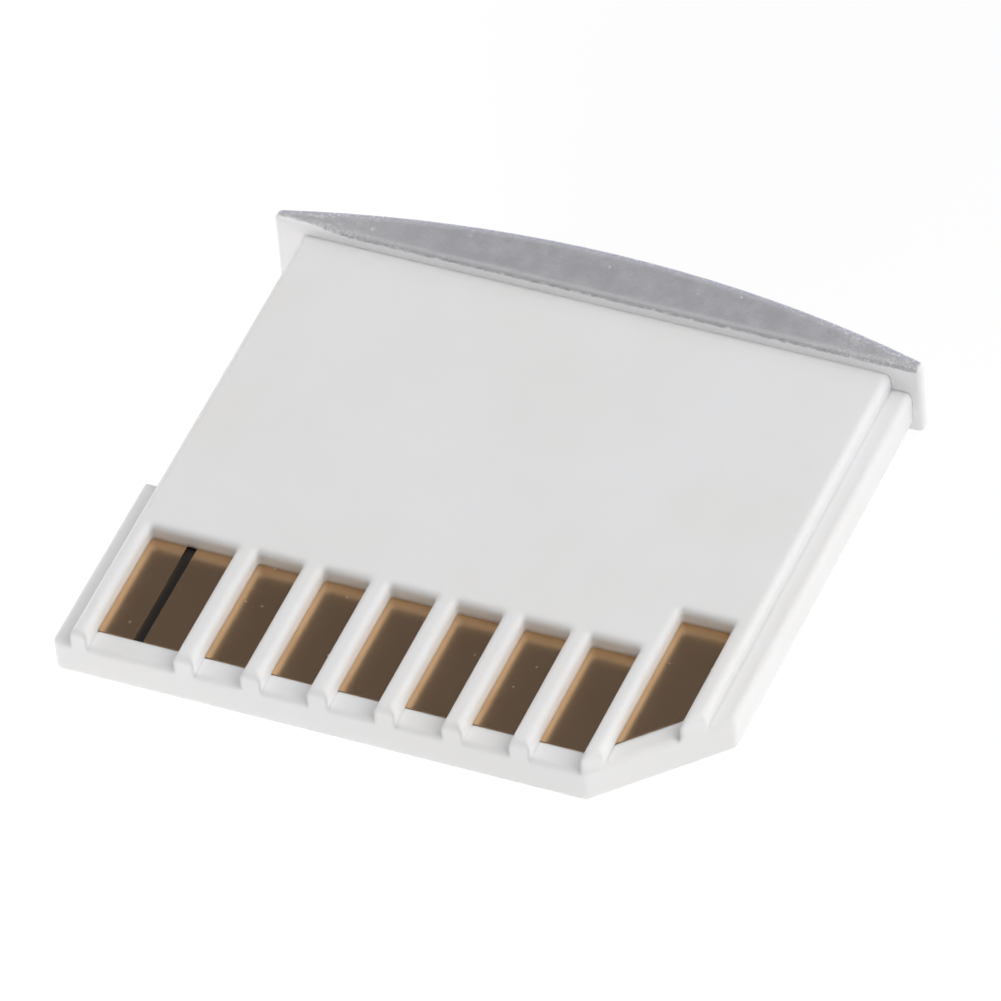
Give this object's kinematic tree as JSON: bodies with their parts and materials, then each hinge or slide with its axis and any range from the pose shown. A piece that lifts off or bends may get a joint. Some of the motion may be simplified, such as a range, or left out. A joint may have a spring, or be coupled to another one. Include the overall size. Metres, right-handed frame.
{
  "type": "microsd card adapter",
  "caption": "Short white plastic card adapter with gold contacts in ribbed windows, a cut corner, a side mouth for a small memory card and a silver crescent end cap.",
  "frame": {"origin": "middle of the footprint, at the lowest point, which is the lower edge of the end cap", "axes": "+X across the width towards the cut corner, +Y from the insertion edge towards the end cap, +Z out of the side with the contacts"},
  "size_m": [0.0248, 0.023, 0.0031],
  "materials": {
    "white_plastic": "moulded white ABS with a fine satin grain",
    "silver_paint": "sprayed silver paint with fine metal flake on white plastic, bare on its front face",
    "board_resist": "black solder resist on glass-fibre board",
    "black_plastic": "moulded black heat-proof plastic",
    "gold_plate": "polished hard gold plating on copper",
    "spring_metal": "gold-plated phosphor bronze strip"
  },
  "bodies": {
    "root": {"contact_side_housing": "white_plastic", "base_cover": "white_plastic", "end_cap": "silver_paint", "circuit_board": "board_resist", "spring_comb": "black_plastic", "contact_1": "gold_plate", "contact_2": "gold_plate", "contact_3": "gold_plate", "contact_4": "gold_plate", "contact_5": "gold_plate", "contact_6": "gold_plate", "contact_7": "gold_plate", "contact_8": "gold_plate", "contact_9": "gold_plate", "card_spring_1": "spring_metal", "card_spring_2": "spring_metal", "card_spring_3": "spring_metal", "card_spring_4": "spring_metal", "card_spring_5": "spring_metal", "card_spring_6": "spring_metal", "card_spring_7": "spring_metal", "card_spring_8": "spring_metal"}
  },
  "joints": []
}
